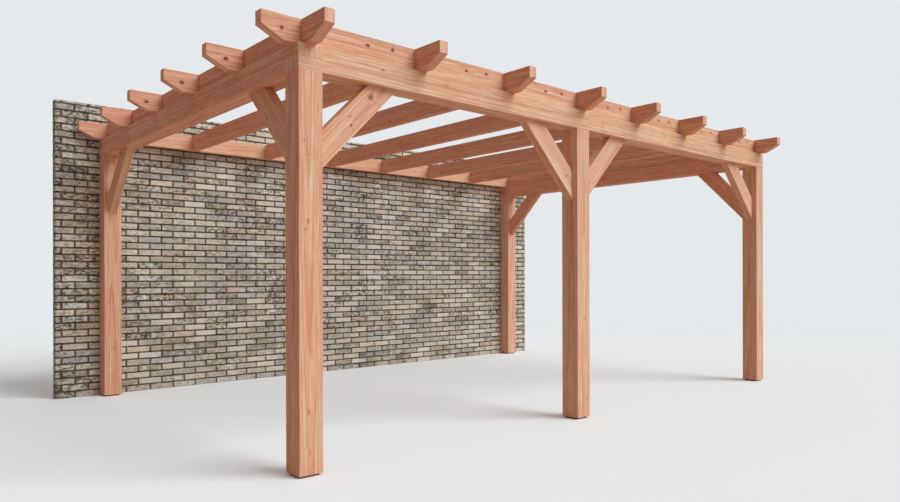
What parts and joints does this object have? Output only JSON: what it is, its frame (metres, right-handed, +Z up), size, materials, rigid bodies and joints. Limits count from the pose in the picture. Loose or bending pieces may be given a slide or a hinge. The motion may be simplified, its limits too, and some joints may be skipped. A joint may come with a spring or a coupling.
{
  "type": "lean-to veranda",
  "caption": "Open lean-to timber veranda: square posts with corner braces carry lapped beams and rafters with bevelled tails, standing against a free brick wall.",
  "frame": {"origin": "centre of the bounding box's underside, on the floor", "axes": "+X right along the wall as seen from the front, +Y back to the wall, +Z up"},
  "size_m": [6.213, 4.013, 2.705],
  "materials": {
    "timber": "matte",
    "foot_steel": "matte",
    "brick": "matte",
    "mortar": "matte",
    "screw_steel": "satin"
  },
  "bodies": {
    "root": {"post_front_left": "timber", "post_front_middle": "timber", "post_front_right": "timber", "post_rear_left": "timber", "post_rear_right": "timber", "foot_front_left": "foot_steel", "foot_front_middle": "foot_steel", "foot_front_right": "foot_steel", "foot_rear_left": "foot_steel", "foot_rear_right": "foot_steel", "front_beam": "timber", "left_beam": "timber", "right_beam": "timber", "rafter_1": "timber", "rafter_2": "timber", "rafter_3": "timber", "rafter_4": "timber", "rafter_5": "timber", "rafter_6": "timber", "rafter_7": "timber", "rafter_8": "timber", "left_tail_1": "timber", "left_tail_2": "timber", "left_tail_3": "timber", "left_tail_4": "timber", "left_tail_5": "timber", "left_tail_6": "timber", "front_blocking": "timber", "wall_plate": "timber", "brace_front_left": "timber", "brace_middle_left": "timber", "brace_middle_right": "timber", "brace_front_right": "timber", "brace_left_front": "timber", "brace_left_rear": "timber", "brace_right_front": "timber", "brace_right_rear": "timber", "brick_wall": "brick"}
  },
  "joints": []
}
